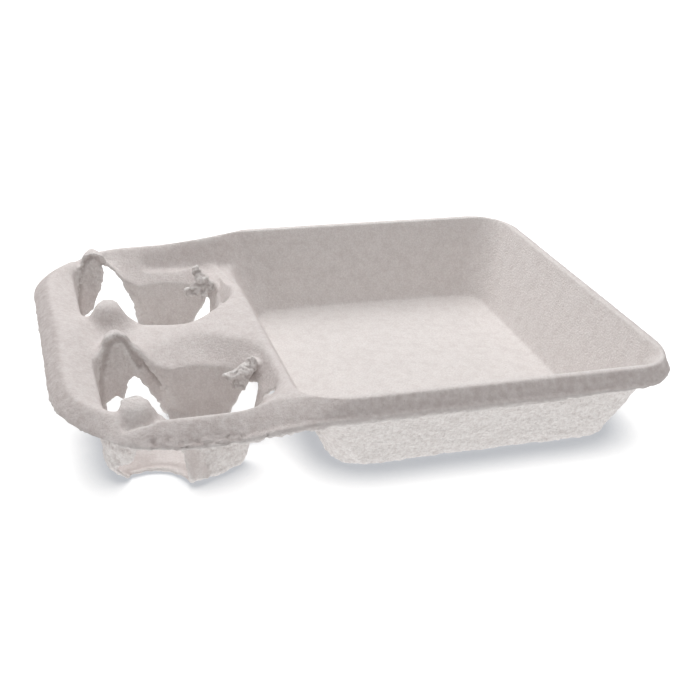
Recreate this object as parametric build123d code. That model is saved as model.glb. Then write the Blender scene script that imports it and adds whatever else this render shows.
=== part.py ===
from build123d import *
import math
import os

# Moulded-pulp carrier: one pressed shell with two cup wells and a food tray.
# Millimetres, +X towards the tray, +Z up, origin on the floor under the middle of the shell.

# Overall plan, taken at the outer lip
LENGTH = 334.0
WIDTH = 256.0
WALL = 2.0
TRAY_CORNER = 32.0
CUP_CORNER = 66.0

# Cup wells, round at the ledge that carries the cup, and their place in the plan
LEDGE_R = 33.5
LEDGE_Z = 32.0
LEDGE_WIDTH = 1.2
LEDGE_TO_END = 46.5
LEDGE_TO_SIDE = 35.0
WELL_FLOOR_R = 24.5
WELL_FOOT_R = 26.0
WELL_FOOT_Z = 5.0
PAD_R = 15.0
PAD_HEIGHT = 1.0
WELL_X = LEDGE_R + LEDGE_TO_END - LENGTH / 2
WELL_Y = WIDTH / 2 - LEDGE_TO_SIDE - LEDGE_R
LEDGE_EAST = WELL_X + LEDGE_R

# Rim heights: the tray end stands higher than the cup end
TRAY_CREST = 53.9
CUP_CREST = 48.3
STEP_START = WELL_X + 53.0
STEP_END = WELL_X - 17.0

# Rim section, measured down and inwards from the lip
SKIRT_LEAN = 28.0
SKIRT_FOOT_IN = 2.5
END_SKIRT_LEAN = 10.0
END_SKIRT_FOOT_IN = 1.2
TRAY_LEDGE = 46.3
CUP_LEDGE = 41.0
TRAY_LIP = 41.7
CUP_LIP = 38.6
LIP_FADE_LENGTH = 97.0
LIP_FADE = 4.0
LIP_BAND_OUT = 5.0
LIP_BAND_IN = 8.0

# Rolled shoulder round the cup end, from the crest down to the lip
ROLL_SIDE = 13.0
ROLL_END = 8.0
ROLL_DROP = 8.0
ROLL_CORNER_CUT = 24.9
ROLL_CORNER_LEAN = 55.2
ROLL_CORNER_REACH = 23.5
ROLL_FADE_START = WELL_X - 5.0
ROLL_FADE_LENGTH = 80.0
ROLL_FADE_RISE = 11.5

# Food tray: floor edges measured from the ends and sides, then the lean of each wall
TRAY_TO_END = 27.4
TRAY_TO_SIDE = 29.0
LEDGE_TO_TRAY = 31.5
TRAY_LEAN = 19.5
TRAY_END_LEAN = 21.5
DIVIDER_LEAN = 27.0
TRAY_CORNER_ROUND = 20.0
TRAY_FLOOR_ROUND = 10.0

# Low stretch of the divider between the wells and the tray
DIVIDER_HEIGHT = 46.0
DIVIDER_TO_SIDE = 44.0
DIP_WIDTH = 45.0
DIP_FROM_LEDGE = -19.5
DIP_LEAN = 63.4

# Saddle between the wells: its heights, and its places along the length from the wells' axis
SADDLE_LOW = 38.0
SADDLE_HIGH = 46.2
SADDLE_RISE_START = -25.0
SADDLE_RISE_END = 39.0
SADDLE_WEST = -45.0
SADDLE_RIM = -60.0
SADDLE_HALF = 38.0

# Funnel of the well on the +Y side: plan direction and lean of each of its walls
FUNNEL_WALLS = [
    (0, 17.0), (45, 44.0), (90, 49.4), (135, 62.8), (180, 65.3), (225, 70.0), (270, 65.0), (315, 42.0),
]
FUNNEL_ROUNDNESS = 0.95

# Hollow posts, two beside each well, placed from its ledge
POST_BACK = 6.5
POST_ASIDE = 5.8
POST_PROFILE = [(6.6, 53.0), (10.6, 43.8), (22.0, 32.0)]
POST_ROOT_Z = 24.0
POST_INSET = 0.9

# Deeper end of a well between its posts
POCKET_END = 18.5
POCKET_END_LEAN = 3.0
POCKET_NARROWER = 2.5
POCKET_LEAN = 8.0
POCKET_ROUND = 11.0
FACET_BACK = 14.0
FACET_BACK_LEAN = 21.0
FACET_TURN = 24.6
POCKET_MOUTH = 2.0

# Windows beside the posts, seen from the side: outline points from the well's axis
SIDE_WINDOW = [
    (-40.0, -1.5), (-50.0, 11.0), (-42.0, 15.5), (-38.0, 25.0), (-33.5, 39.0), (-36.0, 48.5),
    (-31.0, 43.0), (-25.0, 36.0), (-21.0, 28.5), (-17.5, 19.0), (-15.5, 9.0), (-14.5, -1.5),
]
SIDE_WINDOW_DEPTH = 24.0

# Windows under the divider: angle from the length axis, and outline in the wall
END_WINDOW_ANGLE = 28.0
END_WINDOW = [
    (9.4, -1.5), (8.0, 7.0), (5.3, 16.0), (1.7, 25.0), (0.6, 39.5),
    (-1.9, 38.5), (-7.7, 34.0), (-9.7, 28.0), (-9.9, 20.0), (-8.5, -1.5),
]
END_WINDOW_DEPTH = 21.0
WINDOW_BEYOND_LEDGE = 9.5

# Curled finger over each window under the divider: long beside one window, short beside the other
FINGER_ANGLE = 31.0
FINGER_Z = 34.0
FINGER_DIP = 5.0
FINGER_ROLL = 25.0
LONG_FINGER = 23.0
LONG_FINGER_R = 6.5
SHORT_FINGER = 12.0
SHORT_FINGER_R = 5.0
FINGER_WALL = 1.6
FINGER_ROUNDING = [0, 52]

# Solids reach this high and this low before they are trimmed
SKY = 64.0
GROUND = -1.0


def tangent(degrees):
    return math.tan(math.radians(degrees))


def wall_normal(direction, lean):
    """Outward normal of a wall that leans outwards by so many degrees, seen from inside."""
    turn, tilt = math.radians(direction), math.radians(lean)
    return Vector(math.cos(turn) * math.cos(tilt), math.sin(turn) * math.cos(tilt), -math.sin(tilt))


def walled(walls, base, offset, reach=0.0):
    """Solid inside flat walls, each given by its plan direction, distance out at the base and lean.

    The offset moves every wall outwards, and the floor down, by that much. Each corner is rounded by a
    fillet that takes up so much reach of both walls at an offset of nothing, measured level.
    """
    sections = []
    for height in (base - offset, SKY):
        lines = []
        for direction, distance, lean in walls:
            shift = (height - base) * tangent(lean) + offset / math.cos(math.radians(lean))
            lines.append((math.radians(direction), distance + shift))
        corners = []
        for (turn, out), (next_turn, next_out) in zip(lines, lines[1:] + lines[:1]):
            x = (out * math.sin(next_turn) - next_out * math.sin(turn)) / math.sin(next_turn - turn)
            y = (next_out * math.cos(turn) - out * math.cos(next_turn)) / math.sin(next_turn - turn)
            corners.append(Vector(x, y, height))
        sections.append(corners)
    low, high = sections
    rings = [(low[i - 1], low[i], high[i], high[i - 1]) for i in range(len(walls))] + [low, high]
    form = Solid(Shell([Face(Wire.make_polygon(ring)) for ring in rings]))
    if reach:
        for i, (direction, _, lean) in enumerate(walls):
            next_direction, _, next_lean = walls[(i + 1) % len(walls)]
            normals = wall_normal(direction, lean), wall_normal(next_direction, next_lean)
            bend = slanted(form).sort_by_distance((low[i] + high[i]) / 2)[0]
            form = fillet(bend, between(*normals, reach) + offset)
    return form


def slanted(form):
    """Edges that climb from the foot of a form to its top."""
    return form.edges().filter_by(lambda edge: abs((edge @ 0).Z - (edge @ 1).Z) > 1)


def foot(form):
    return form.edges().group_by(Axis.Z)[0]


def between(first, second, reach):
    """Radius of a fillet that takes up that much of two walls with these normals, measured level."""
    edge = first.cross(second).normalized()
    level = (Vector(0, 0, 1).cross(normal).normalized() for normal in (first, second))
    return reach * min(edge.cross(line).length for line in level) / tangent(first.get_angle(second) / 2)


def outline(x0, x1, y0, y1, r_left, r_right, z):
    """Closed plan outline, a rectangle with one corner radius at each end."""
    face = Plane.XY.offset(z) * (Pos((x0 + x1) / 2, (y0 + y1) / 2) * Rectangle(x1 - x0, y1 - y0))
    face = fillet(face.vertices().group_by(Axis.X)[0], r_left)
    return fillet(face.vertices().group_by(Axis.X)[-1], r_right).face()


def rim_band(low, high, end_rise=0.0):
    """Everything under one line of the rim, which runs high at the tray and low at the cup end."""
    middle = ((STEP_END + STEP_START) / 2, (low + high) / 2)
    lower_arc = TangentArc((STEP_END, low), middle, tangent=(1, 0))
    upper_arc = TangentArc(middle, (STEP_START, high), tangent=lower_arc % 1)
    edge = (
        Line((-LENGTH, low), (STEP_END, low))
        + lower_arc
        + upper_arc
        + Polyline(
            (STEP_START, high),
            (LENGTH / 2 - LIP_FADE_LENGTH, high),
            (LENGTH / 2, high + end_rise),
            (LENGTH, high + end_rise),
            (LENGTH, GROUND),
            (-LENGTH, GROUND),
            (-LENGTH, low),
        )
    )
    return extrude(Plane.XZ * make_face(edge), WIDTH, both=True)


def lip(inset):
    """Tall block inside the outline of the lip, moved inwards by the inset."""
    x, y = LENGTH / 2 - inset, WIDTH / 2 - inset
    return extrude(outline(-x, x, -y, y, CUP_CORNER - inset, TRAY_CORNER - inset, GROUND), SKY - GROUND)


def skirt(offset):
    """Sloping skirt of the rim, as a block with leaning sides."""
    side, end = WIDTH / 2 - SKIRT_FOOT_IN, LENGTH / 2 - END_SKIRT_FOOT_IN
    rise = GROUND - TRAY_LEDGE
    side -= rise * tangent(SKIRT_LEAN) + offset / math.cos(math.radians(SKIRT_LEAN))
    end -= rise * tangent(END_SKIRT_LEAN) + offset / math.cos(math.radians(END_SKIRT_LEAN))
    walls = [(0, end, -END_SKIRT_LEAN), (90, side, -SKIRT_LEAN), (180, LENGTH, 0), (270, side, -SKIRT_LEAN)]
    form = walled(walls, GROUND, 0)
    return fillet(slanted(form).sort_by(Axis.X)[2:], TRAY_CORNER - SKIRT_FOOT_IN - offset)


def roll(offset):
    """Rolled shoulder of the cup end, which fades out at the tray."""
    crest = CUP_CREST - offset
    side, end = WIDTH / 2 - ROLL_SIDE, LENGTH / 2 - ROLL_END
    slope = Plane(origin=(0, side, crest), x_dir=(1, 0, 0), z_dir=(0, -ROLL_SIDE, ROLL_DROP))
    fade_end = (ROLL_FADE_START + ROLL_FADE_LENGTH, ROLL_FADE_RISE)
    line = Line((-LENGTH, 0), (ROLL_FADE_START, 0))
    line += TangentArc((ROLL_FADE_START, 0), fade_end, tangent=(1, 0))
    line += Polyline(fade_end, (LENGTH, ROLL_FADE_RISE), (LENGTH, -LENGTH), (-LENGTH, -LENGTH), (-LENGTH, 0))
    shoulder = extrude(slope * make_face(line), LENGTH, both=True)

    end_lean = math.degrees(math.atan2(ROLL_END, ROLL_DROP))
    side_lean = math.degrees(math.atan2(ROLL_SIDE, ROLL_DROP))
    corner = (side + end) / math.sqrt(2) - ROLL_CORNER_CUT
    walls = []
    for direction, distance, lean in (
        (0, LENGTH, 0), (90, WIDTH, 0), (135, corner, ROLL_CORNER_LEAN), (180, end, end_lean),
        (225, corner, ROLL_CORNER_LEAN), (270, WIDTH, 0),
    ):
        walls.append((direction, distance + (crest - GROUND) * tangent(lean), -lean))
    form = walled(walls, GROUND, 0) & shoulder & mirror(shoulder, Plane.XZ)

    normals = [wall_normal(*wall) for wall in ((90, -side_lean), (135, -ROLL_CORNER_LEAN), (180, -end_lean))]
    bends = slanted(form).sort_by(Axis.X)
    form = fillet(bends[2:4], between(*normals[:2], ROLL_CORNER_REACH))
    return fillet(slanted(form).sort_by(Axis.X)[:2], between(*normals[1:], ROLL_CORNER_REACH))


def tray(offset):
    """Inside of the food tray, grown by offset for its outer face."""
    half = WIDTH / 2 - TRAY_TO_SIDE
    walls = [
        (0, LENGTH / 2 - TRAY_TO_END, TRAY_END_LEAN),
        (90, half, TRAY_LEAN),
        (180, -LEDGE_EAST - LEDGE_TO_TRAY, DIVIDER_LEAN),
        (270, half, TRAY_LEAN),
    ]
    form = walled(walls, WALL, offset)
    form = fillet(slanted(form), TRAY_CORNER_ROUND + offset)
    return fillet(foot(form), TRAY_FLOOR_ROUND + offset)


def divider_dip(offset):
    """Room over the divider, which is lower than the rim."""
    left = LEDGE_EAST + DIP_FROM_LEDGE
    half = WIDTH / 2 - DIVIDER_TO_SIDE
    walls = [(0, left + DIP_WIDTH, 0), (90, half, DIP_LEAN), (180, -left, 0), (270, half, DIP_LEAN)]
    return walled(walls, DIVIDER_HEIGHT, offset)


def saddle_dip(offset):
    """Room over the saddle between the wells, which rises to the divider and to the rim of the end."""
    low, high, crest = SADDLE_LOW - offset, SADDLE_HIGH - offset, CUP_CREST - offset
    start, end = WELL_X + SADDLE_RISE_START, WELL_X + SADDLE_RISE_END
    west, rim = WELL_X + SADDLE_WEST, WELL_X + SADDLE_RIM
    line = [(rim, crest), (west, low), (start, low), (end, high), (end, SKY), (rim, SKY)]
    return extrude(Plane.XZ * make_face(Polyline(line, close=True)), SADDLE_HALF, both=True)


def well(offset):
    """Round lower part of a cup well, with its raised floor pad and its ledge."""
    floor = WALL - offset
    ledge = LEDGE_Z - offset
    profile = Polyline(
        (0, floor + PAD_HEIGHT),
        (PAD_R - PAD_HEIGHT - offset, floor + PAD_HEIGHT),
        (PAD_R - offset, floor),
        (WELL_FLOOR_R + offset, floor),
        (WELL_FOOT_R + offset, WELL_FOOT_Z - offset),
        (LEDGE_R - LEDGE_WIDTH + offset, ledge),
        (LEDGE_R + offset, ledge),
        (LEDGE_R + offset, LEDGE_Z + PAD_HEIGHT),
        (0, LEDGE_Z + PAD_HEIGHT),
        close=True,
    )
    return revolve(Plane.XZ * make_face(profile), Axis.Z)


def funnel(offset):
    """Sloping upper part of a well, nearly round at the ledge and squarish at the rim."""
    walls = [(direction, LEDGE_R, lean) for direction, lean in FUNNEL_WALLS]
    reach = FUNNEL_ROUNDNESS * LEDGE_R * tangent(180 / len(walls))
    return walled(walls, LEDGE_Z, offset, reach)


def pocket(offset):
    """Deeper end of a well between its posts, with a facet that leads into the round wall."""
    half = LEDGE_R - POCKET_NARROWER
    across, along = math.cos(math.radians(FACET_TURN)), math.sin(math.radians(FACET_TURN))
    facet = half * across - FACET_BACK * along
    facet_lean = math.degrees(math.atan(tangent(POCKET_LEAN) * across - tangent(FACET_BACK_LEAN) * along))
    walls = [
        (0, -POCKET_MOUTH, 0),
        (90 - FACET_TURN, facet, facet_lean),
        (90, half, POCKET_LEAN),
        (180, LEDGE_R + POCKET_END, POCKET_END_LEAN),
        (270, half, POCKET_LEAN),
        (270 + FACET_TURN, facet, facet_lean),
    ]
    form = walled(walls, WALL, offset)
    back = slanted(form).sort_by(Axis.X)[:2]
    floor = foot(form).sort_by(Axis.X)[:3]
    return fillet(back + floor, POCKET_ROUND + offset)


def post(offset):
    """Conical post with a flared foot, as a turned profile moved down and inwards by the offset."""
    edge = [(radius - offset * POST_INSET, height - offset) for radius, height in POST_PROFILE]
    top, flare = edge[0][1], edge[-1][0]
    profile = Polyline((0, top), *edge, (flare, POST_ROOT_Z), (0, POST_ROOT_Z), close=True)
    return revolve(Plane.XZ * make_face(profile), Axis.Z)


def side_window():
    """Opening in a well's wall beside a post, cut through from the side."""
    beyond = LEDGE_R + WINDOW_BEYOND_LEDGE
    return extrude(Plane.XZ.offset(-beyond) * make_face(Polyline(SIDE_WINDOW, close=True)), SIDE_WINDOW_DEPTH)


def end_window():
    """Opening in a well's wall under the divider, with its peak at the finger."""
    beyond = LEDGE_R + WINDOW_BEYOND_LEDGE
    wall_plane = Plane(origin=(beyond, 0, 0), x_dir=(0, 1, 0), z_dir=(1, 0, 0))
    cut = extrude(wall_plane * make_face(Polyline(END_WINDOW, close=True)), -END_WINDOW_DEPTH)
    return Rot(0, 0, END_WINDOW_ANGLE) * cut


def finger(length, radius):
    """Blunt hollow finger that leans into the well, open on the side of the window."""

    def bulb(reach, swell):
        turns = (math.radians(turn) for turn in FINGER_ROUNDING)
        edge = [(-reach * math.sin(turn), swell * math.cos(turn)) for turn in turns]
        return revolve(make_face(Polyline((0, 0), *edge, (edge[-1][0], 0), close=True)), Axis.X)

    shell = bulb(length, radius) - bulb(length - FINGER_WALL, radius - FINGER_WALL)
    kept = Pos(-length / 2, radius) * Box(2 * length, 2 * radius, 4 * radius)
    bent = Rot(FINGER_ROLL, 0, 0) * (shell & kept)
    root = Pos(LEDGE_R + WINDOW_BEYOND_LEDGE, 0, FINGER_Z)
    return Rot(0, 0, FINGER_ANGLE) * root * Rot(0, -FINGER_DIP, 0) * bent


def fingers():
    """The two fingers of a well; the one on the far side reaches further in."""
    return finger(LONG_FINGER, LONG_FINGER_R) + mirror(finger(SHORT_FINGER, SHORT_FINGER_R), Plane.XZ)


def both_sides(form):
    """A form of one well's half and its mirror image in the same well."""
    return form + mirror(form, Plane.XZ)


def both_wells(form):
    """A form round the well's own axis, set into both wells."""
    placed = Pos(WELL_X, WELL_Y) * form
    return placed + mirror(placed, Plane.XZ)


def under(offset):
    """All that lies under the shell's top face, or under its bottom face at an offset of one wall."""
    block = skirt(offset) & roll(offset) & rim_band(CUP_CREST - offset, TRAY_CREST - offset)
    block = (block + rim_band(CUP_LEDGE - offset, TRAY_LEDGE - offset)) & lip(offset)
    block = block - tray(offset) - divider_dip(offset) - saddle_dip(offset) - both_wells(funnel(offset))
    post_form = Pos(-LEDGE_R - POST_BACK, LEDGE_R + POST_ASIDE) * post(offset)
    block += both_wells(both_sides(post_form))
    return block - both_wells(well(offset) + pocket(offset))


def lip_trim():
    """Room under the lip, in a band along the edge."""
    return (lip(-LIP_BAND_OUT) - lip(LIP_BAND_IN)) & rim_band(CUP_LIP, TRAY_LIP, LIP_FADE)


def carrier():
    shell = under(0) - under(WALL) - lip_trim()
    shell -= both_wells(both_sides(side_window() + end_window()))
    for side in (-WELL_Y, WELL_Y):
        shell += Pos(WELL_X, side) * fingers()
    return shell


if __name__ == "__main__":
    os.makedirs("parts", exist_ok=True)
    export_step(carrier(), "parts/carrier.step")
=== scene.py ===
import itertools
import math

import bmesh
import bpy
import numpy as np
from mathutils import Matrix, Vector


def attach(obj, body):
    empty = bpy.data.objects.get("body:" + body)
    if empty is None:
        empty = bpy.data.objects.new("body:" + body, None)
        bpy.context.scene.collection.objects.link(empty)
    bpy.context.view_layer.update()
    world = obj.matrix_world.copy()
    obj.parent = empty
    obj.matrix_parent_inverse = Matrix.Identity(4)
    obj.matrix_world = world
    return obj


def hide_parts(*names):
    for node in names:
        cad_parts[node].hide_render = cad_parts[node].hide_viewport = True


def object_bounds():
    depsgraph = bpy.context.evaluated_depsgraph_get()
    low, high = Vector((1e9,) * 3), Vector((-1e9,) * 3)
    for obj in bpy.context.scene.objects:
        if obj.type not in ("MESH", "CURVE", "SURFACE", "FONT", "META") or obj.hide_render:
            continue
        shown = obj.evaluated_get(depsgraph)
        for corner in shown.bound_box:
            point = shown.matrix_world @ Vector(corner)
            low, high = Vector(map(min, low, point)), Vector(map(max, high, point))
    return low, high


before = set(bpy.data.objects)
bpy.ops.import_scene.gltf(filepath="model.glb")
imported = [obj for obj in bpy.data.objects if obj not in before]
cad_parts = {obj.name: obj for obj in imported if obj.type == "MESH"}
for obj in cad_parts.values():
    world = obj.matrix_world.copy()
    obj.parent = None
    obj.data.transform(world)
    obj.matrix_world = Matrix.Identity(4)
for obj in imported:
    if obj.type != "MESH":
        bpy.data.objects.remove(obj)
cad_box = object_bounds()

MM = 0.001
box_low, box_high = (np.array(corner) / MM for corner in cad_box)

# Camera at the photograph's place: turn, tilt and roll in degrees, place in millimetres, lens and sensor
CAMERA_ANGLES = (-18.86, 26.27, 3.22)
CAMERA_PLACE = (-181.1, -571.9, 316.0)
LENS = 57.05
SENSOR = 36.0
CLIP_START = 0.02

# Round lamps that point at the carrier: name, place in metres and watts
LAMPS = [("behind", (-0.1, 0.95, 1.3), 14.5), ("overhead", (0.0, 0.15, 1.55), 6.0)]
LAMP_SIZE = 1.1
SURROUND_LIGHT = 0.45

# White floor: half its side and its height in metres, what it sends up, and the shadow that it keeps
FLOOR_REACH = 3.0
FLOOR_Z = -0.0006
FLOOR_BOUNCE = 1.2
FLOOR_MATTE = (0.3, 0.3, 0.3, 1)
SHADOW_REACH = 0.025
SHADOW_SAMPLES = 12
SHADOW_STOPS = [(0.42, (0.31, 0.33, 0.36, 1)), (0.93, (0.9, 0.9, 0.9, 1))]
WHITE = (1, 1, 1, 1)

# Places in the solid, in millimetres: the wells' axis, the posts from it, the pocket's wall, the divider
WELL_X = -87.0
WELL_Y = 59.5
POST_X = -127.0
POST_Y = 39.3
POCKET_HALF = 31.0
POCKET_Z = 2.0
POCKET_LEAN = 8.0
DIVIDER_X = -47.0

# The inside of a well: radius, height and lean of the foot, then of the funnel above the ledge
FOOT_R, FOOT_Z, FOOT_LEAN = 26.0, 5.0, 0.233
FUNNEL_R, FUNNEL_Z, FUNNEL_LEAN = 33.0, 32.0, 0.4

# The tray's bend outside and inside, and how far it is drawn out towards its corner
TRAY_BENDS = (12.0, 10.0)
TRAY_FILL = 0.8

# Map of the divider's top: corner, cell, cells each way, and the height of a cell that holds nothing
MAP_WEST, MAP_SOUTH, MAP_CELL, MAP_CELLS = -116.0, 20.0, 1.6, 68
MAP_EMPTY = -50.0

# Far end of the divider: its crown and how far it sinks, the rim's wall that it meets, and the bend there
CROWN_Z, CROWN_SINKS = 46.4, 9.6
RIM_WALL_Y, RIM_WALL_Z, RIM_WALL_LEAN, RIM_WALL_STEP = 109.3, 34.0, 0.354, 4.6
CROWN_BLEND = 2.2
SINK_FADE = 26

# Smaller shapes: the near well's foot, the peaked and the rounded posts, the cup end's far corner
FOOT_SWELL = 11.0
PEAK_SLOPE = 0.5
POST_ROUND = 0.05
POST_BULGE = 4.6
POST_HALF = 8.0
CORNER_CUT = 2.2

# Mesh of the pulp
VOXEL = 0.85
KEEP_TRIANGLES = 190000
BOX_GAP = 0.02

# Both faces of the hanging webs, from the inside of the wall
WEB_FACES = (-0.1, 2.1)

# Pulp left hanging in a window beside a post, from the side: outline points from the well's axis
SIDE_WEB = [
    (-37.0, 50.0), (-30.0, 44.5), (-24.0, 37.0), (-20.0, 29.0), (-16.5, 19.5), (-14.5, 9.5),
    (-14.0, -0.4), (-15.2, 0.4), (-19.3, 9.6), (-23.4, 16.5), (-27.5, 22.5), (-31.6, 26.5),
    (-35.1, 22.4), (-35.6, 17.8), (-37.6, 13.0), (-43.0, 16.5), (-39.5, 25.5), (-35.0, 39.0),
]

# Pulp left at the foot of the same window's wall, on the left of the post
CORNER_WEB = [
    (-55.0, -0.4), (-55.0, 18.0), (-50.5, 19.0), (-48.0, 16.0), (-46.6, 11.0), (-47.4, 6.0),
    (-46.2, 2.5), (-46.6, -0.4),
]

# Pulp left hanging in the windows under the divider: well, then outline points in the window's wall
END_WEBS = [
    (-1, [
        (1.7, 25.0), (-0.9, 27.3), (-4.0, 28.4), (-7.6, 29.4), (-10.5, 29.0), (-9.0, 34.5),
        (-2.2, 39.8), (1.6, 40.0), (2.6, 30.0),
    ]),
    (1, [
        (1.6, 27.0), (2.0, 40.0), (-2.0, 40.0), (-8.8, 34.6), (-10.8, 28.0), (-11.0, 20.0),
        (-9.8, 4.0), (-7.0, 6.0), (-4.9, 16.4), (-3.0, 24.0), (-1.7, 27.0),
    ]),
]
END_WINDOW_TURN = 28.0

# Torn lumps on the two long fingers: place and radius
TORN_LUMPS = [
    (-69.0, -48.8, 34.0, 4.2), (-67.6, -50.6, 31.0, 4.2), (-65.4, -52.0, 29.4, 3.2),
    (-65.6, -48.8, 35.0, 4.6), (-62.4, -49.6, 34.8, 4.4), (-60.0, -47.6, 38.0, 4.0),
    (-57.2, -46.0, 40.8, 3.4), (-62.0, -51.5, 31.6, 3.0), (-65.8, 76.6, 46.4, 2.9),
    (-65.2, 75.4, 44.0, 3.4), (-63.8, 73.8, 41.4, 3.8), (-62.4, 72.0, 38.6, 4.0),
    (-60.2, 70.4, 36.0, 3.6), (-66.0, 71.6, 36.0, 4.0), (-69.6, 71.2, 34.0, 3.6),
    (-72.4, 71.0, 32.6, 2.9), (-70.6, 69.8, 31.0, 2.8), (-66.4, 69.0, 32.0, 3.6),
    (-62.6, 67.6, 31.2, 3.2), (-59.8, 71.8, 41.4, 2.9), (-58.6, 70.4, 38.8, 2.9),
    (-58.4, 69.0, 35.4, 2.6),
]
LUMP_SHAPE = (1.2, 1.0, 0.6)
LUMP_TURN = 2.4

# Ragged sill along the floor of the near well, under the window in its side, and the plate it stands on
SILL = [
    (-127.5, -82.4), (-124.2, -81.8), (-119.0, -79.6), (-113.9, -78.4), (-109.0, -78.7),
    (-104.5, -80.1), (-101.2, -82.0), (-99.6, -83.6),
]
SILL_R = 1.3
SILL_STEPS = 4
PLATE_BACK = [(-98.5, -76.0), (-129.5, -76.0)]
PLATE_Z = 0.15
PLATE_SHARE = 0.8

# Creases inside the hollow far posts, from the side: well, depth, width, then points from the well's axis
CREASES = [
    (-1, 0.9, 1.3, [(-50.1, 7.7), (-50.1, 17.6), (-49.3, 29.1), (-47.3, 36.3), (-45.9, 41.9), (-42.9, 46.7)]),
    (-1, 1.2, 1.4, [(-44.5, 45.5), (-39.0, 49.2), (-35.9, 47.2), (-33.9, 43.6), (-31.1, 37.1), (-28.0, 33.0)]),
    (-1, -0.7, 1.1, [(-37.0, 45.6), (-35.6, 42.0), (-32.9, 37.0), (-31.0, 31.0), (-30.4, 28.0)]),
    (-1, -0.6, 0.9, [(-27.0, 36.0), (-22.6, 31.0), (-18.5, 25.6), (-15.0, 19.8), (-11.5, 13.6), (-9.5, 9.0)]),
    (-1, 0.8, 0.9, [(-30.5, 40.0), (-26.5, 34.5), (-22.0, 28.0), (-18.0, 22.0)]),
    (1, -0.5, 0.9, [(-28.8, 43.5), (-24.7, 37.0), (-20.7, 30.1), (-16.7, 21.9), (-12.7, 12.9)]),
    (1, 0.9, 1.2, [(-51.0, 6.0), (-51.0, 19.3), (-49.7, 29.0), (-48.5, 38.7), (-45.4, 46.9), (-42.0, 50.0)]),
    (1, 0.7, 1.2, [(-43.0, 49.5), (-38.5, 49.5), (-34.6, 44.0)]),
]

# Noise: size in millimetres, then the number that picks its pattern
WARP = (7.0, 21)
WRINKLE, FINE_WRINKLE = (5.4, 1), (2.7, 2)
FIBRE, FINE_FIBRE = (6.0, 7), (2.4, 8)
WAVES, SHORT_WAVES = (36.0, 3), (12.0, 4)
TEAR, FINE_TEAR = (3.6, 5), (1.8, 9)
LUMP_SWELL, FINE_LUMP_SWELL = (2.6, 31), (1.3, 32)
CHIPS = (2.0, 12)
PITS = (3.0, 14)
RAGGED = (3.0, 15)
SLITS = (3.2, 16)
WAVER = (2.2, 40)

# Whole numbers that scatter the cells of the noise
SCATTER = (73856093, 19349663, 83492791)
SCATTER_AGAIN = 1274126177

# Colours of the pulp; the tray's tone is painted light and the rim's is painted shade, with the plain tone
# between
TONES = {
    "tray": (0.87, 0.82, 0.80, 1),
    "plain": (0.765, 0.70, 0.682, 1),
    "rim": (0.55, 0.487, 0.472, 1),
    "cloud": (0.90, 0.87, 0.85, 1),
    "blotch": (0.50, 0.43, 0.41, 1),
    "mottle": (0.50, 0.44, 0.42, 1),
    "dull_fibre": (0.69, 0.64, 0.62, 1),
    "pale_fibre": (0.91, 0.88, 0.86, 1),
    # painted shade in creases and hollows
    "painted_crease_shade": (0.42, 0.36, 0.34, 1),
    # painted highlight on crests and torn edges
    "painted_highlight": (0.88, 0.85, 0.83, 1),
    "speck": (0.30, 0.25, 0.23, 1),
}


def camera():
    """Camera at the photograph's place, found from the rim, the ledges and the floor edges."""
    turn, tilt, roll = (math.radians(angle) for angle in CAMERA_ANGLES)
    back = Vector((math.sin(turn) * math.cos(tilt), -math.cos(turn) * math.cos(tilt), math.sin(tilt)))
    level = (-back).cross(Vector((0, 0, 1))).normalized()
    above = level.cross(-back)
    right = level * math.cos(roll) + above * math.sin(roll)
    up = above * math.cos(roll) - level * math.sin(roll)
    place = Matrix((right, up, back)).transposed().to_4x4()
    place.translation = Vector(CAMERA_PLACE) * MM
    data = bpy.data.cameras.new("camera")
    data.sensor_fit = "HORIZONTAL"
    data.sensor_width = SENSOR
    data.lens = LENS
    data.clip_start = CLIP_START
    view = bpy.data.objects.new("camera", data)
    view.matrix_world = place
    bpy.context.scene.collection.objects.link(view)
    bpy.context.scene.camera = view


def lamp(name, place, watts):
    data = bpy.data.lights.new(name, "AREA")
    data.shape = "DISK"
    data.size = LAMP_SIZE
    data.energy = watts
    light = bpy.data.objects.new(name, data)
    light.location = place
    light.rotation_euler = (Vector((0, 0, 0)) - Vector(place)).to_track_quat("-Z", "Y").to_euler()
    bpy.context.scene.collection.objects.link(light)


def seen_ray(nodes, links):
    """1 for rays from the camera and for what gloss and glass show, else 0."""
    path = nodes.new("ShaderNodeLightPath")
    total = path.outputs["Is Camera Ray"]
    for name in ("Is Glossy Ray", "Is Transmission Ray"):
        either = nodes.new("ShaderNodeMath")
        either.operation = "MAXIMUM"
        links.new(total, either.inputs[0])
        links.new(path.outputs[name], either.inputs[1])
        total = either.outputs[0]
    return total


def show(tree, kind, lighting, seen):
    """The tree's output: one shader for the light that the scene gets, another for what is seen."""
    nodes, links = tree.nodes, tree.links
    out = nodes.new(kind)
    mix = nodes.new("ShaderNodeMixShader")
    links.new(seen_ray(nodes, links), mix.inputs["Fac"])
    links.new(lighting.outputs[0], mix.inputs[1])
    links.new(seen.outputs[0], mix.inputs[2])
    links.new(mix.outputs[0], out.inputs["Surface"])


def surround():
    """A dim world that looks white."""
    world = bpy.data.worlds.new("surround")
    bpy.context.scene.world = world
    world.use_nodes = True
    nodes = world.node_tree.nodes
    nodes.clear()
    dim = nodes.new("ShaderNodeBackground")
    white = nodes.new("ShaderNodeBackground")
    dim.inputs["Strength"].default_value = SURROUND_LIGHT
    dim.inputs["Color"].default_value = WHITE
    white.inputs["Color"].default_value = WHITE
    show(world.node_tree, "ShaderNodeOutputWorld", dim, white)


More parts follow.
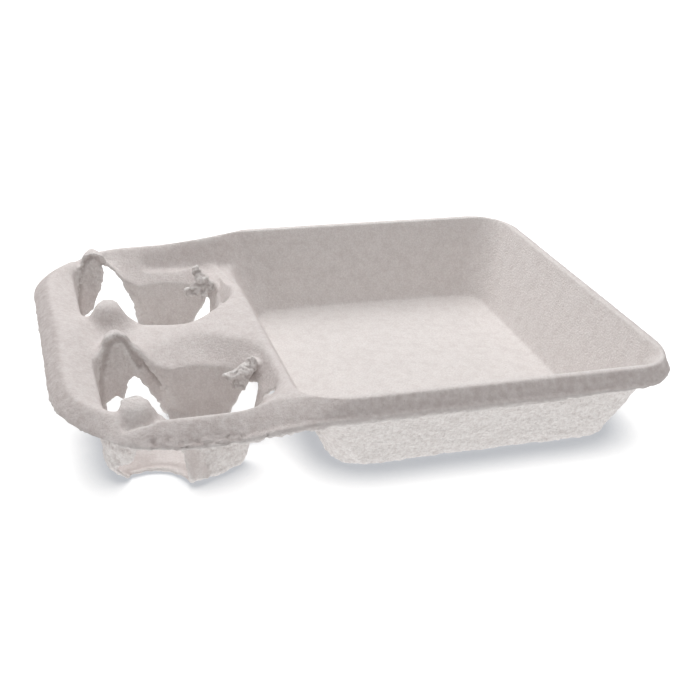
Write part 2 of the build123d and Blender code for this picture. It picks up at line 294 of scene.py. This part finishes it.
def floor_white():
    """White paper that darkens only close to the carrier."""
    paper = bpy.data.materials.new("floor_white")
    paper.use_nodes = True
    nodes, links = paper.node_tree.nodes, paper.node_tree.links
    nodes.clear()
    contact = nodes.new("ShaderNodeAmbientOcclusion")
    contact.inputs["Distance"].default_value = SHADOW_REACH
    contact.samples = SHADOW_SAMPLES
    shadow = nodes.new("ShaderNodeValToRGB")
    for stop, (position, colour) in zip(shadow.color_ramp.elements, SHADOW_STOPS):
        stop.position = position
        stop.color = colour
    glow = nodes.new("ShaderNodeEmission")
    matte = nodes.new("ShaderNodeBsdfDiffuse")
    matte.inputs["Color"].default_value = FLOOR_MATTE
    seen = nodes.new("ShaderNodeAddShader")
    bounce = nodes.new("ShaderNodeEmission")
    bounce.inputs["Color"].default_value = WHITE
    bounce.inputs["Strength"].default_value = FLOOR_BOUNCE
    links.new(contact.outputs["AO"], shadow.inputs["Fac"])
    links.new(shadow.outputs["Color"], glow.inputs["Color"])
    links.new(glow.outputs[0], seen.inputs[0])
    links.new(matte.outputs[0], seen.inputs[1])
    show(paper.node_tree, "ShaderNodeOutputMaterial", bounce, seen)
    return paper


def studio():
    """Soft light from above and behind, a dim surround, and a white floor that keeps the shadow."""
    bpy.context.scene.view_settings.view_transform = "Standard"
    for name, place, watts in LAMPS:
        lamp(name, place, watts)
    surround()
    mesh = bpy.data.meshes.new("floor")
    corners = [(x * FLOOR_REACH, y * FLOOR_REACH, 0) for x, y in ((-1, -1), (1, -1), (1, 1), (-1, 1))]
    mesh.from_pydata(corners, [], [(0, 1, 2, 3)])
    mesh.materials.append(floor_white())
    floor = bpy.data.objects.new("floor", mesh)
    floor.location.z = FLOOR_Z
    bpy.context.scene.collection.objects.link(floor)


def grain(points, size, pattern):
    """Smooth repeatable noise, about -1 to 1, on points in millimetres."""
    place = points / size + pattern * 17.31
    cell = np.floor(place).astype(np.int64)
    part = place - cell
    part = part * part * (3 - 2 * part)
    total = np.zeros(len(points))
    for corner in itertools.product((0, 1), repeat=3):
        key = np.zeros(len(points), dtype=np.int64)
        weight = 1.0
        for axis, step in enumerate(corner):
            key = key ^ (cell[:, axis] + step) * SCATTER[axis]
            weight = weight * (part[:, axis] if step else 1 - part[:, axis])
        key = (key ^ (key >> 13)) * SCATTER_AGAIN & 0x7FFFFFFF
        total += (((key ^ (key >> 11)) & 0xFFFF) / 32767.5 - 1) * weight
    return total


def grain_vector(points, size, pattern):
    """Noise along each of the three axes."""
    return np.stack([grain(points, size, pattern + axis) for axis in range(3)], axis=1)


def vein(points, noise, sharpness):
    """1 along thin winding lines, 0 away from them."""
    return np.clip(1 - sharpness * np.abs(grain(points, *noise)), 0, 1) ** 2


def ramp(values, low, high):
    """0 at low, 1 at high and straight in between; low may be the larger of the two."""
    return np.clip((values - low) / (high - low), 0, 1)


class Surface:
    """Points and edges of a mesh, for smoothing and shaping in millimetres."""

    def __init__(self, mesh):
        count = len(mesh.vertices)
        points = np.empty(count * 3)
        mesh.vertices.foreach_get("co", points)
        self.points = points.reshape(-1, 3) / MM
        ends = np.empty(len(mesh.edges) * 2, dtype=np.int64)
        mesh.edges.foreach_get("vertices", ends)
        ends = ends.reshape(-1, 2)
        self.start = np.concatenate([ends[:, 0], ends[:, 1]])
        self.end = np.concatenate([ends[:, 1], ends[:, 0]])
        self.degree = np.maximum(np.bincount(self.start, minlength=count), 1)
        self.mesh = mesh

    def mean(self, values):
        """Mean of each point's neighbours."""
        size = len(self.degree)
        if values.ndim == 1:
            return np.bincount(self.start, values[self.end], size) / self.degree
        return np.stack([self.mean(values[:, axis]) for axis in range(3)], axis=1)

    def relax(self, steps, weight=1.0, share=0.5):
        """Plain smoothing, which pulls each point towards its neighbours."""
        for _ in range(steps):
            pull = (self.mean(self.points) - self.points) * share
            self.points += pull * (weight[:, None] if isinstance(weight, np.ndarray) else weight)

    def fair(self, steps):
        """Smoothing that keeps the size."""
        for _ in range(steps):
            self.relax(1, share=0.55)
            self.relax(1, share=-0.57)

    def spread(self, values, steps):
        """Values on the points, blurred over their neighbours."""
        for _ in range(steps):
            values = self.mean(values)
        return values

    def distance(self, line, axes, shift=(0.0, 0.0)):
        """Distance of each point to a line of points, seen along the third axis."""
        u, v = self.points[:, axes[0]] - shift[0], self.points[:, axes[1]] - shift[1]
        away = np.full(len(u), np.inf)
        for (u0, v0), (u1, v1) in zip(line, line[1:]):
            du, dv = u1 - u0, v1 - v0
            share = np.clip(((u - u0) * du + (v - v0) * dv) / (du**2 + dv**2), 0, 1)
            away = np.minimum(away, np.hypot(u - u0 - share * du, v - v0 - share * dv))
        return away

    def store(self):
        """Writes the points back to the mesh."""
        self.mesh.vertices.foreach_set("co", (self.points * MM).ravel())
        self.mesh.update()

    def normals(self):
        self.store()
        normals = np.empty(len(self.degree) * 3, dtype=np.float32)
        self.mesh.vertices.foreach_get("normal", normals)
        return normals.reshape(-1, 3).astype(float)


def baked(piece):
    """A piece's mesh with its modifiers applied."""
    bpy.context.view_layer.update()
    graph = bpy.context.evaluated_depsgraph_get()
    return bpy.data.meshes.new_from_object(piece.evaluated_get(graph))


def well_wall(z):
    """Distance from a well's axis to the inside of its round wall."""
    if z < FUNNEL_Z:
        return FOOT_R + (z - FOOT_Z) * FOOT_LEAN
    return FUNNEL_R + (z - FUNNEL_Z) * FUNNEL_LEAN


def web_outlines(depth):
    """Outlines of the webs and of the sill's plate, at a depth in the wall."""
    pocket_y = -WELL_Y + POCKET_HALF
    slope = math.tan(math.radians(POCKET_LEAN))
    rings = [
        [Vector((WELL_X + x, pocket_y + (z - POCKET_Z) * slope + depth, z)) for x, z in outline]
        for outline in (SIDE_WEB, CORNER_WEB)
    ]
    height = PLATE_Z + (depth - WEB_FACES[0]) * PLATE_SHARE
    rings.append([Vector((x, y, height)) for x, y in PLATE_BACK + SILL])
    turn = math.radians(END_WINDOW_TURN)
    along = Vector((math.cos(turn), math.sin(turn), 0))
    across = Vector((-along.y, along.x, 0))
    for side, outline in END_WEBS:
        axis = Vector((WELL_X, side * WELL_Y, 0))
        rings.append([
            axis + along * (well_wall(z) + depth) + across * s + Vector((0, 0, z)) for s, z in outline
        ])
    return rings


def sill_beads():
    """Small lumps in a row along the sill."""
    beads = []
    for (x0, y0), (x1, y1) in zip(SILL, SILL[1:]):
        for step in range(SILL_STEPS):
            x, y = x0 + (x1 - x0) * step / SILL_STEPS, y0 + (y1 - y0) * step / SILL_STEPS
            beads.append((x, y, SILL_R + 0.1, SILL_R))
    return beads


def torn_pulp():
    """Loose pulp that joins the shell: webs in the windows, lumps on the long fingers, and the sill."""
    made = bmesh.new()
    for near, far in zip(*(web_outlines(depth) for depth in WEB_FACES)):
        inner, outer = ([made.verts.new(point * MM) for point in ring] for ring in (near, far))
        made.faces.new(inner)
        made.faces.new(outer[::-1])
        for i in range(len(inner)):
            made.faces.new((inner[i - 1], outer[i - 1], outer[i], inner[i]))
    for count, (x, y, z, radius) in enumerate(TORN_LUMPS + sill_beads()):
        lump = bmesh.ops.create_icosphere(made, subdivisions=3, radius=radius * MM)["verts"]
        turned = Matrix.Rotation(count * LUMP_TURN, 3, Vector((math.sin(count), math.cos(count), 0.6)))
        flat = turned @ Matrix.Diagonal(LUMP_SHAPE) @ turned.transposed()
        at = np.array([tuple(vert.co / MM) for vert in lump]) + count * 7.0
        swell = 1 + 0.22 * grain(at, *LUMP_SWELL) + 0.12 * grain(at, *FINE_LUMP_SWELL)
        for vert, share in zip(lump, swell):
            vert.co = flat @ (vert.co * share) + Vector((x, y, z)) * MM
    bmesh.ops.recalc_face_normals(made, faces=made.faces)
    return made


def remeshed(source):
    """A piece that still holds the solid with the torn pulp, and one even closed mesh of both."""
    made = torn_pulp()
    made.from_mesh(source.data)
    start = bpy.data.meshes.new("start")
    made.to_mesh(start)
    made.free()
    piece = bpy.data.objects.new("pulp", start)
    bpy.context.scene.collection.objects.link(piece)
    remesh = piece.modifiers.new("remesh", "REMESH")
    remesh.mode = "VOXEL"
    remesh.voxel_size = VOXEL * MM
    mesh = baked(piece)
    piece.modifiers.clear()
    return piece, mesh


def lower_divider(form):
    """The divider sinks towards its far end, where it meets the upright inside wall of the rim."""
    x, y, z = form.points.T
    reach = MAP_CELL * (MAP_CELLS - 1)
    here = (x > MAP_WEST) & (x < MAP_WEST + reach) & (y > MAP_SOUTH) & (y < MAP_SOUTH + reach)
    across, along = (x[here] - MAP_WEST) / MAP_CELL, (y[here] - MAP_SOUTH) / MAP_CELL
    top = np.full((MAP_CELLS, MAP_CELLS), MAP_EMPTY)
    np.maximum.at(top, (np.rint(across).astype(int), np.rint(along).astype(int)), z[here])

    # How far each cell's top stands above the wanted one
    cells = MAP_CELL * np.arange(MAP_CELLS)
    cell_x, cell_y = np.meshgrid(MAP_WEST + cells, MAP_SOUTH + cells, indexing="ij")
    far = ramp(cell_y, 40, 76)
    crown = CROWN_Z - CROWN_SINKS * far * far * (3 - 2 * far)
    wall = RIM_WALL_Z + (cell_y - RIM_WALL_Y + RIM_WALL_STEP * ramp(cell_x, -12, -40)) / RIM_WALL_LEAN
    wanted = CROWN_BLEND * np.log(np.exp(crown / CROWN_BLEND) + np.exp(np.minimum(wall, 60) / CROWN_BLEND))
    drop = top - wanted - SINK_FADE * ramp(cell_x, -57, -70) * ramp(cell_y, 98, 92)
    drop = np.maximum(drop - SINK_FADE * ramp(cell_x, -94, -112), 0)
    for _ in range(3):
        padded = np.pad(drop, 1, mode="edge")
        beside = padded[:-2, 1:-1] + padded[2:, 1:-1] + 0.5 * (padded[1:-1, :-2] + padded[1:-1, 2:])
        drop = (beside + 2 * drop) / 5

    i, j = across.astype(int), along.astype(int)
    u, v = across - i, along - j

    def between(cell):
        """The map's value at each point, from the four cells around it."""
        near_side = cell[i, j] * (1 - u) * (1 - v) + cell[i + 1, j] * u * (1 - v)
        return near_side + cell[i, j + 1] * (1 - u) * v + cell[i + 1, j + 1] * u * v

    sink, crest = between(drop), between(np.maximum(top, 30.0))
    form.points[here, 2] -= sink * np.clip((z[here] - 18) / np.maximum(crest - 25, 4), 0, 1)


def sill_shadow(form):
    """The dark line beside the ragged sill."""
    _, y, z = form.points.T
    away = form.distance(SILL, (0, 1))
    return ramp(away, 1.0, 2.0) * ramp(away, 5.2, 4.0) * ramp(z, 5, 3.5) * ramp(y, -86, -84) * ramp(y, -73, -75)


def sharpen_tray(form, normal):
    """The tray's bottom edge is crisper than in the solid, inside and outside."""
    x, _, z = form.points.T
    turn = np.degrees(np.arcsin(np.clip(np.abs(normal[:, 2]), 0, 1)))
    swing = np.radians(np.clip(np.minimum(turn - 20, 90 - turn), 0, 35.5))
    reach = np.where(normal[:, 2] < 0, TRAY_BENDS[0], -TRAY_BENDS[1]) * (1 / np.cos(swing) - 1) * TRAY_FILL
    form.points += normal * (reach * ramp(x, -34, -24) * ramp(z, 15, 12))[:, None]


def swell_foot(form):
    """The near well's foot swells outwards beside the window in its side."""
    x, y, z = form.points.T
    beside, outward = x - WELL_X, np.abs(y) - WELL_Y
    swell = ramp(beside, -36, -13) * ramp(beside, 22, -12) * ramp(outward, 10, 23) * ramp(z, 30, 3)
    form.points[:, 1] -= FOOT_SWELL * swell * (y < 0)


def shape_posts(form):
    """The far posts come to a peak where the pocket cuts them, the near posts are closed and rounded."""
    x, y, z = form.points.T
    for side in (-1, 1):
        off = np.abs(x - POST_X + 0.6)
        near = ramp(np.abs(y - side * WELL_Y - POST_Y), 13, 7) * ramp(off, 12, 8) * ramp(z, 40, 49)
        form.points[:, 2] -= near * PEAK_SLOPE * np.maximum(off - 1.0, 0)
    for side in (-1, 1):
        off, behind = x - POST_X, y - side * WELL_Y + POST_Y
        near = ramp(np.abs(off), 9, 6) * ramp(behind, -14, -10) * ramp(behind, 9, 6) * ramp(z, 38, 50)
        form.points[:, 2] -= near * POST_ROUND * (off**2 + np.minimum(behind, 0) ** 2)
        bulge = np.sqrt(np.clip(1 - (off / POST_HALF) ** 2, 0, 1))
        form.points[:, 1] += near * POST_BULGE * bulge * ramp(behind, -2.5, 1.0)


def shorten_corner(form):
    """The far corner of the cup end is cut a little shorter."""
    x, y, _ = form.points.T
    share = ramp((y - x) / math.sqrt(2), 170, 184) * ramp(y, 40, 70)
    form.points[:, 0] += share * CORNER_CUT
    form.points[:, 1] -= share * CORNER_CUT


def thin_edges(form):
    """Thin edges, which pull back under plain smoothing far more than creases do, and what is near them."""
    plain = form.points.copy()
    form.relax(8)
    pulled = np.linalg.norm(form.points - plain, axis=1)
    form.points = plain
    edge = form.spread(ramp(pulled, 0.42, 0.75), 2)
    return edge, np.clip(form.spread(edge, 10) * 2.2, 0, 1)


def soften(form, near_edge):
    """Creases turn into soft bends, wide on the saddle, the divider and the cup end, narrow elsewhere."""
    x, y, z = form.points.T
    saddle = ramp(x, 0, -50) * ramp(np.abs(y), 30, 8) * ramp(z, 30, 36)
    divider = ramp(np.abs(x - DIVIDER_X), 14, 6) * ramp(z, 38, 43) * ramp(np.abs(y), 112, 98)
    cup_end = ramp(x, -134, -148) * ramp(z, 36, 40)
    soft = np.clip(np.maximum(np.maximum(saddle, divider), cup_end) + 0.07, 0, 1) * (1 - near_edge)
    form.relax(60, form.spread(soft, 6))
    form.relax(1)


def near_lumps(form):
    """The torn lumps and what is close to them."""
    lumpy = np.zeros(len(form.points))
    for *place, radius in TORN_LUMPS:
        away = np.linalg.norm(form.points - place, axis=1)
        lumpy = np.maximum(lumpy, ramp(away, radius + 2.5, radius))
    return lumpy


def rough_side(form, normal, under, lumpy):
    """The pulp's rough side: the underside, inside the hollow posts, and the torn lumps."""
    x, y, z = form.points.T
    below = np.maximum(form.spread(ramp(normal[:, 2], 0.10, -0.10), 2), under)
    hood = np.zeros(len(x))
    for side, post in itertools.product((-1, 1), repeat=2):
        away = np.hypot(x - POST_X, y - side * WELL_Y - post * POST_Y)
        facing = normal[:, 1] * -post
        hood = np.maximum(hood, ramp(away, 20, 13) * ramp(facing, 0.2, 0.6) * ramp(z, 16, 34))
    return np.clip(np.maximum(below, np.maximum(hood * 0.8, lumpy)), 0, 1)


def crease_depth(form, normal):
    """Creases (above 0) and torn ridges (below 0) inside the hollow posts."""
    waver = 0.7 * grain(form.points, *WAVER)
    dent = np.zeros(len(form.points))
    for side, depth, width, line in CREASES:
        behind = form.points[:, 1] - side * WELL_Y
        inside = ramp(normal[:, 1], -0.1, -0.5) * ramp(behind, 24, 28) * ramp(behind, 46, 42)
        away = form.distance(line, (0, 2), (WELL_X, 0.0)) + waver
        mark = depth * inside * ramp(away, width * 1.6, width * 0.4)
        dent = np.where(np.abs(mark) > np.abs(dent), mark, dent)
    return dent


def standing_out(form, normal):
    """The points relaxed a little, and how far the surface stands out of that."""
    smooth = form.points.copy()
    form.relax(5)
    relaxed, form.points = form.points, smooth
    return relaxed, np.einsum("ij,ij->i", smooth - relaxed, normal)


def roughen(form, normal, relaxed, marks):
    """Wrinkled fibre on the rough side, faint waves all over, torn fibre along the edges and the near lip."""
    x, y, z = relaxed.T
    at = form.points
    edge, lumpy = marks["edge"], marks["lumpy"]
    warp = at + 2.2 * grain_vector(at, *WARP)
    wrinkle = 0.55 * (1 - 2 * np.abs(grain(warp, *WRINKLE))) ** 3
    wrinkle = wrinkle + 0.35 * (1 - 2 * np.abs(grain(warp, *FINE_WRINKLE))) ** 3
    fibre = 0.34 * grain(warp, *FIBRE) + 0.24 * grain(warp, *FINE_FIBRE) - np.clip(wrinkle, 0, 1) * 0.45
    lip = ramp(z, 44.5, 42.5) * ramp(z, 35, 37) * ramp(normal[:, 2], -0.3, 0.2)
    lip = lip * ramp(y, -118, -121) * ramp(x, 60, -20) * ramp(x, -150, -142)
    pits = vein(warp, PITS, 2.6) * lumpy
    slits = vein(warp * (0.3, 1.0, 1.3), SLITS, 3.2) * lip
    ragged = lumpy * (0.3 + 0.8 * grain(at, *RAGGED)) - 1.1 * pits - 0.8 * slits
    waves = 0.13 * grain(at, *WAVES) + 0.04 * grain(at, *SHORT_WAVES)
    chips = 0.25 * grain(at, *CHIPS) * marks["crest"]
    coarse = 1.3 + 1.1 * ramp(x, -20, -45) * (1 - lumpy)
    lift = marks["rough"] * fibre * coarse + waves + chips + ragged - marks["dent"]
    form.points = at + normal * lift[:, None]

    tear = grain_vector(at, *TEAR) * 1.1 + grain_vector(at, *FINE_TEAR) * 0.9
    form.points += tear * (np.maximum(edge, 0.6 * lip) * (0.5 + 0.5 * ramp(x, 0, -60)))[:, None]
    return {"wrinkle": wrinkle, "lip": lip, "pits": pits, "slits": slits}


def painted_shade_in_hollows(form, normal, relaxed, standing, marks):
    """Painted shade: darker in wrinkles, creases, pits, slits and hollows, a painted shadow beside the sill,
    and a painted shadow line along the wells' ledges.
    """
    x, y, z = relaxed.T
    # Painted shade in the hollows of the lip and the torn lumps
    hollow = form.spread(ramp(-standing, 0.04, 0.25), 1)
    # Painted shadow line along each well's ledge
    ring = np.abs(np.hypot(x - WELL_X, np.abs(y) - WELL_Y) - 33.2)
    ledge = ramp(ring, 1.7, 0.8) * ramp(np.abs(z - 32.2), 1.6, 0.6) * 0.5
    painted_crease_shade = ramp(marks["wrinkle"], 0.45, 1.0) * marks["rough"] + np.clip(marks["dent"], 0, 1) * 1.4
    painted_crease_shade = painted_crease_shade + marks["pits"] * 1.5 + marks["slits"] + marks["sill"] * ramp(normal[:, 2], 0.1, 0.5) + ledge
    return np.clip(painted_crease_shade + hollow * np.maximum(marks["lip"], marks["lumpy"]) * 1.4, 0, 1)


def painted_light_and_shade(form, normal, smooth):
    """Painted light and shade on the smooth side: 0 is painted light in the tray, about 0.5 elsewhere, 1 is
    painted shade on the outer faces of the rim, and the insides of the wells get a little painted light.
    """
    x, y, z = smooth.T
    out_x, out_y = normal[:, 0] * np.sign(x), normal[:, 1] * np.sign(y)
    sides = ramp(np.abs(y), 114, 119) * ramp(out_y, 0.15, 0.4)
    ends = ramp(np.abs(x), 152, 156) * ramp(out_x, 0.15, 0.4)
    cup_end = 0.7 * ramp(x, -138, -150) * ramp(out_x, 0.05, 0.4)
    rim = np.maximum(np.maximum(sides, ends), cup_end)
    tray = ramp(x, -38, -18) * ramp(np.abs(y), 126, 121) * ramp(x, 163, 158)
    foot = ramp(np.hypot(x - WELL_X, np.abs(y) - WELL_Y), 37, 34) * ramp(z, 33, 31)
    return form.spread(np.clip(0.5 - 0.5 * tray + rim - foot * np.where(y > 0, 0.5, 0.2), 0, 1), 3)


def thin_out(piece, mesh):
    """Gives the piece the shaped mesh, thinned and kept inside the solid's box."""
    start = piece.data
    piece.data = mesh
    bpy.data.meshes.remove(start)
    triangles = sum(len(face.vertices) - 2 for face in mesh.polygons)
    thin = piece.modifiers.new("thin", "DECIMATE")
    thin.ratio = min(1.0, KEEP_TRIANGLES / triangles)
    final = baked(piece)
    trimmed = Surface(final)
    trimmed.points = np.clip(trimmed.points, box_low, box_high)
    trimmed.store()
    piece.modifiers.clear()
    piece.data = final
    bpy.data.meshes.remove(mesh)
    final.name = "pulp"
    final.shade_smooth()


def pulp_body():
    """The carrier as pressed pulp: soft bends, a wrinkled underside, torn windows, fingers and lip."""
    piece, mesh = remeshed(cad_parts["carrier"])
    form = Surface(mesh)
    form.fair(3)
    lower_divider(form)
    normal = form.normals()
    under = form.spread(ramp(normal[:, 2], 0.05, -0.15), 3)
    marks = {"sill": sill_shadow(form)}
    sharpen_tray(form, normal)
    swell_foot(form)
    shape_posts(form)
    shorten_corner(form)
    marks["edge"], near_edge = thin_edges(form)
    soften(form, near_edge)

    normal = form.normals()
    marks["lumpy"] = near_lumps(form)
    marks["rough"] = rough_side(form, normal, under, marks["lumpy"])
    marks["dent"] = crease_depth(form, normal)
    relaxed, standing = standing_out(form, normal)
    # Convex crests: small chips, and a painted highlight in the colour
    marks["crest"] = form.spread(ramp(standing, 0.05, 0.22), 1) * (1 - near_edge)
    smooth = form.points
    marks.update(roughen(form, normal, relaxed, marks))
    form.points = np.clip(form.points, box_low + BOX_GAP, box_high - BOX_GAP)
    form.store()

    # Torn edges and torn ridges, lightened by a painted highlight
    marks["torn"] = np.clip(marks["edge"] * 1.4 + np.clip(-marks["dent"], 0, 1), 0, 1)
    # Painted shade in creases, wrinkles, pits and hollows
    marks["painted_crease_shade"] = painted_shade_in_hollows(form, normal, relaxed, standing, marks)
    # Painted light in the tray and the wells, painted shade on the rim's outer faces
    marks["shade"] = painted_light_and_shade(form, normal, smooth)
    for name in ("rough", "torn", "crest", "painted_crease_shade", "shade"):
        layer = mesh.attributes.new(name, "FLOAT", "POINT")
        layer.data.foreach_set("value", marks[name].astype(np.float32))
    thin_out(piece, mesh)
    return piece


def pulp_material():
    """Pale grey pulp: clouded and mottled on the smooth side, fibrous on the rough side, with dark specks."""
    pulp = bpy.data.materials.new("pulp")
    pulp.use_nodes = True
    nodes, links = pulp.node_tree.nodes, pulp.node_tree.links
    shader = nodes["Principled BSDF"]
    shader.inputs["Roughness"].default_value = 0.92
    shader.inputs["Specular IOR Level"].default_value = 0.25

    def node(kind, **values):
        made = nodes.new(kind)
        for name, value in values.items():
            if hasattr(made, name):
                setattr(made, name, value)
            else:
                made.inputs[name.replace("_", " ")].default_value = value
        return made

    def feed(socket, value):
        """Sets a socket to a number or a colour, or links another node's output to it."""
        if isinstance(value, (int, float, tuple)):
            socket.default_value = value
        else:
            links.new(value, socket)

    def math_node(operation, first, second):
        made = node("ShaderNodeMath", operation=operation)
        feed(made.inputs[0], first)
        feed(made.inputs[1], second)
        return made.outputs[0]

    def noise(scale, detail, roughness=0.5):
        made = node("ShaderNodeTexNoise", Scale=scale, Detail=detail, Roughness=roughness)
        links.new(coords.outputs["Object"], made.inputs["Vector"])
        return made.outputs["Fac"]

    def blend(share, first, second):
        made = node("ShaderNodeMix", data_type="RGBA")
        feed(made.inputs["Factor"], share)
        feed(made.inputs[6], first)
        feed(made.inputs[7], second)
        return made.outputs[2]

    def band(value, low, high):
        made = node("ShaderNodeMapRange")
        made.inputs["From Min"].default_value = low
        made.inputs["From Max"].default_value = high
        links.new(value, made.inputs["Value"])
        return made.outputs["Result"]

    coords = node("ShaderNodeTexCoord")
    rough, torn, crest, painted_crease_shade, shade = (
        node("ShaderNodeAttribute", attribute_name=name).outputs["Fac"]
        for name in ("rough", "torn", "crest", "painted_crease_shade", "shade")
    )

    # Smooth side: the tray's painted light, the plain tone and the rim's painted shade, then pale clouds and
    # darker stains
    lit_and_shaded_tone = blend(band(shade, 0.0, 0.5), TONES["tray"], TONES["plain"])
    lit_and_shaded_tone = blend(band(shade, 0.5, 1.0), lit_and_shaded_tone, TONES["rim"])
    cloudy = blend(band(noise(300, 4, 0.6), 0.3, 0.7), lit_and_shaded_tone, TONES["cloud"])
    cloudy = blend(0.45, lit_and_shaded_tone, cloudy)
    blotch = math_node("MULTIPLY", band(noise(150, 4, 0.75), 0.55, 0.36), 0.16)
    cloudy = blend(blotch, cloudy, TONES["blotch"])
    mottle = math_node("MULTIPLY", band(noise(950, 3, 0.75), 0.60, 0.42), 0.24)
    cloudy = blend(mottle, cloudy, TONES["mottle"])

    # Rough side, then painted shade in creases and hollows, a painted highlight on crests and torn edges, and a
    # few specks
    fibre = blend(band(noise(520, 4, 0.7), 0.34, 0.62), TONES["dull_fibre"], TONES["pale_fibre"])
    colour = blend(math_node("MULTIPLY", rough, 0.8), cloudy, fibre)
    # Painted shade in creases, then a painted highlight on crests and torn edges
    for mark, strength, tone in ((painted_crease_shade, 0.5, "painted_crease_shade"), (crest, 0.25, "painted_highlight"), (torn, 0.6, "painted_highlight")):
        colour = blend(math_node("MULTIPLY", mark, strength), colour, TONES[tone])
    specks = node("ShaderNodeTexVoronoi", Scale=170.0)
    links.new(coords.outputs["Object"], specks.inputs["Vector"])
    dot = math_node("LESS_THAN", specks.outputs["Distance"], 0.055)
    few = math_node("MULTIPLY", dot, math_node("GREATER_THAN", noise(60, 1), 0.6))
    colour = blend(math_node("MULTIPLY", few, 0.4), colour, TONES["speck"])
    links.new(colour, shader.inputs["Base Color"])

    # Relief: faint level lines and fine grain on the smooth side, coarse fibre on the rough side
    lines = node("ShaderNodeTexWave", Scale=215.0, Distortion=1.5, Detail=3.0, Detail_Scale=3.0)
    lines.bands_direction = "Z"
    links.new(coords.outputs["Object"], lines.inputs["Vector"])
    smooth_side = math_node("MULTIPLY", lines.outputs["Fac"], 0.035)
    smooth_side = math_node("ADD", smooth_side, math_node("MULTIPLY", noise(620, 5, 0.75), 1.5))
    rough_side = math_node("ADD", noise(330, 5, 0.65), math_node("MULTIPLY", noise(900, 3, 0.6), 0.6))
    rough_side = math_node("MULTIPLY", rough_side, 2.4)
    lift = node("ShaderNodeMix", data_type="FLOAT")
    links.new(rough, lift.inputs["Factor"])
    links.new(smooth_side, lift.inputs[2])
    links.new(rough_side, lift.inputs[3])
    bump = node("ShaderNodeBump", Strength=0.7, Distance=0.0012)
    links.new(lift.outputs[0], bump.inputs["Height"])
    links.new(bump.outputs["Normal"], shader.inputs["Normal"])
    return pulp


camera()
studio()
body = pulp_body()
body.data.materials.clear()
body.data.materials.append(pulp_material())
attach(body, "root")
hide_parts("carrier")
